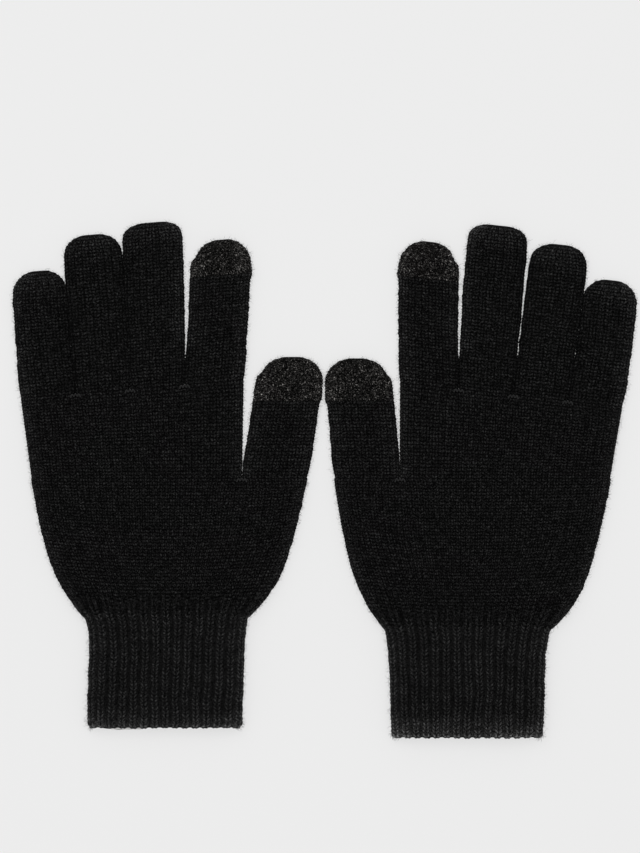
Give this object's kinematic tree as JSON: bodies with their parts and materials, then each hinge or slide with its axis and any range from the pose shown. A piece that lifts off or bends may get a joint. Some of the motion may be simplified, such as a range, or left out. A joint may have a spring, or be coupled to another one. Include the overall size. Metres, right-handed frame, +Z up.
{
  "type": "touchscreen gloves",
  "caption": "Pair of finely knitted gloves lying flat, with ribbed cuffs and conductive yarn at the tips of the thumbs and index fingers, all digits folding.",
  "frame": {"origin": "on the surface that the gloves lie on, at the middle of the rectangle that holds both gloves", "axes": "+X across the pair, from the glove with the label to the other, +Y from the cuffs to the fingertips, +Z up, out of the palms"},
  "size_m": [0.3016, 0.2486, 0.011],
  "materials": {
    "black_knit": "matte",
    "rib_knit": "matte",
    "touch_yarn": "matte",
    "elastic_thread": "matte",
    "label_cloth": "satin"
  },
  "bodies": {
    "left_hand": {"left_lower_palm": "black_knit", "left_upper_palm": "black_knit", "left_thumb_fork_stitch": "black_knit", "left_index_fork_stitch": "black_knit", "left_middle_fork_stitch": "black_knit", "left_ring_fork_stitch": "black_knit"},
    "left_cuff": {"left_cuff": "rib_knit", "left_cuff_hem": "rib_knit", "left_cuff_elastic": "elastic_thread", "left_care_label": "label_cloth"},
    "left_thumb_base": {"left_thumb_base": "black_knit"},
    "left_thumb_end": {"left_thumb_end": "black_knit", "left_thumb_touch_tip": "touch_yarn"},
    "left_index_base": {"left_index_base": "black_knit"},
    "left_index_end": {"left_index_end": "black_knit", "left_index_touch_tip": "touch_yarn"},
    "left_middle_base": {"left_middle_base": "black_knit"},
    "left_middle_end": {"left_middle_end": "black_knit"},
    "left_ring_base": {"left_ring_base": "black_knit"},
    "left_ring_end": {"left_ring_end": "black_knit"},
    "left_little_base": {"left_little_base": "black_knit"},
    "left_little_end": {"left_little_end": "black_knit"},
    "right_hand": {"right_lower_palm": "black_knit", "right_upper_palm": "black_knit", "right_thumb_fork_stitch": "black_knit", "right_index_fork_stitch": "black_knit", "right_middle_fork_stitch": "black_knit", "right_ring_fork_stitch": "black_knit"},
    "right_cuff": {"right_cuff": "rib_knit", "right_cuff_hem": "rib_knit", "right_cuff_elastic": "elastic_thread"},
    "right_thumb_base": {"right_thumb_base": "black_knit"},
    "right_thumb_end": {"right_thumb_end": "black_knit", "right_thumb_touch_tip": "touch_yarn"},
    "right_index_base": {"right_index_base": "black_knit"},
    "right_index_end": {"right_index_end": "black_knit", "right_index_touch_tip": "touch_yarn"},
    "right_middle_base": {"right_middle_base": "black_knit"},
    "right_middle_end": {"right_middle_end": "black_knit"},
    "right_ring_base": {"right_ring_base": "black_knit"},
    "right_ring_end": {"right_ring_end": "black_knit"},
    "right_little_base": {"right_little_base": "black_knit"},
    "right_little_end": {"right_little_end": "black_knit"}
  },
  "joints": [
    {"name": "left_wrist_fold", "type": "hinge", "parent": "left_hand", "child": "left_cuff", "pos_m": [-0.0762, -0.0654, 0.0108], "axis": [-1, 0, 0], "range_deg": [0, 80]},
    {"name": "left_thumb_root_fold", "type": "hinge", "parent": "left_hand", "child": "left_thumb_base", "pos_m": [-0.0241, 0.0013, 0.0084], "axis": [1, 0, 0], "range_deg": [0, 60]},
    {"name": "left_thumb_middle_fold", "type": "hinge", "parent": "left_thumb_base", "child": "left_thumb_end", "pos_m": [-0.02027, 0.02789, 0.0084], "axis": [1, 0, 0], "range_deg": [0, 80]},
    {"name": "left_index_root_fold", "type": "hinge", "parent": "left_hand", "child": "left_index_base", "pos_m": [-0.05303, 0.04736, 0.0084], "axis": [0.9966, 0.0828, 0], "range_deg": [0, 80]},
    {"name": "left_index_middle_fold", "type": "hinge", "parent": "left_index_base", "child": "left_index_end", "pos_m": [-0.05175, 0.07525, 0.0084], "axis": [0.9966, 0.0828, 0], "range_deg": [0, 90]},
    {"name": "left_middle_root_fold", "type": "hinge", "parent": "left_hand", "child": "left_middle_base", "pos_m": [-0.08029, 0.0451, 0.0084], "axis": [0.9966, 0.0828, 0], "range_deg": [0, 80]},
    {"name": "left_middle_middle_fold", "type": "hinge", "parent": "left_middle_base", "child": "left_middle_end", "pos_m": [-0.08106, 0.07669, 0.0084], "axis": [0.9966, 0.0828, 0], "range_deg": [0, 90]},
    {"name": "left_ring_root_fold", "type": "hinge", "parent": "left_hand", "child": "left_ring_base", "pos_m": [-0.10645, 0.04292, 0.0084], "axis": [0.9966, 0.0828, 0], "range_deg": [0, 80]},
    {"name": "left_ring_middle_fold", "type": "hinge", "parent": "left_ring_base", "child": "left_ring_end", "pos_m": [-0.10874, 0.07284, 0.0084], "axis": [0.9966, 0.0828, 0], "range_deg": [0, 90]},
    {"name": "left_little_root_fold", "type": "hinge", "parent": "left_hand", "child": "left_little_base", "pos_m": [-0.13261, 0.04075, 0.0084], "axis": [0.9966, 0.0828, 0], "range_deg": [0, 80]},
    {"name": "left_little_middle_fold", "type": "hinge", "parent": "left_little_base", "child": "left_little_end", "pos_m": [-0.13523, 0.06485, 0.0084], "axis": [0.9966, 0.0828, 0], "range_deg": [0, 90]},
    {"name": "gloves_apart", "type": "slide", "parent": "left_hand", "child": "right_hand", "axis": [1, 0, 0], "range_m": [0, 0.15]},
    {"name": "right_wrist_fold", "type": "hinge", "parent": "right_hand", "child": "right_cuff", "pos_m": [0.0685, -0.0711, 0.0108], "axis": [-1, 0, 0], "range_deg": [0, 80]},
    {"name": "right_thumb_root_fold", "type": "hinge", "parent": "right_hand", "child": "right_thumb_base", "pos_m": [0.0206, 0.0013, 0.0084], "axis": [1, 0, 0], "range_deg": [0, 60]},
    {"name": "right_thumb_middle_fold", "type": "hinge", "parent": "right_thumb_base", "child": "right_thumb_end", "pos_m": [0.01779, 0.02802, 0.0084], "axis": [1, 0, 0], "range_deg": [0, 80]},
    {"name": "right_index_root_fold", "type": "hinge", "parent": "right_hand", "child": "right_index_base", "pos_m": [0.05043, 0.04566, 0.0084], "axis": [0.9942, -0.108, 0], "range_deg": [0, 80]},
    {"name": "right_index_middle_fold", "type": "hinge", "parent": "right_index_base", "child": "right_index_end", "pos_m": [0.05002, 0.07357, 0.0084], "axis": [0.9942, -0.108, 0], "range_deg": [0, 90]},
    {"name": "right_middle_root_fold", "type": "hinge", "parent": "right_hand", "child": "right_middle_base", "pos_m": [0.07762, 0.0427, 0.0084], "axis": [0.9942, -0.108, 0], "range_deg": [0, 80]},
    {"name": "right_middle_middle_fold", "type": "hinge", "parent": "right_middle_base", "child": "right_middle_end", "pos_m": [0.07982, 0.07422, 0.0084], "axis": [0.9942, -0.108, 0], "range_deg": [0, 90]},
    {"name": "right_ring_root_fold", "type": "hinge", "parent": "right_hand", "child": "right_ring_base", "pos_m": [0.10372, 0.03987, 0.0084], "axis": [0.9942, -0.108, 0], "range_deg": [0, 80]},
    {"name": "right_ring_middle_fold", "type": "hinge", "parent": "right_ring_base", "child": "right_ring_end", "pos_m": [0.10737, 0.06964, 0.0084], "axis": [0.9942, -0.108, 0], "range_deg": [0, 90]},
    {"name": "right_little_root_fold", "type": "hinge", "parent": "right_hand", "child": "right_little_base", "pos_m": [0.12981, 0.03703, 0.0084], "axis": [0.9942, -0.108, 0], "range_deg": [0, 80]},
    {"name": "right_little_middle_fold", "type": "hinge", "parent": "right_little_base", "child": "right_little_end", "pos_m": [0.13385, 0.06093, 0.0084], "axis": [0.9942, -0.108, 0], "range_deg": [0, 90]}
  ]
}
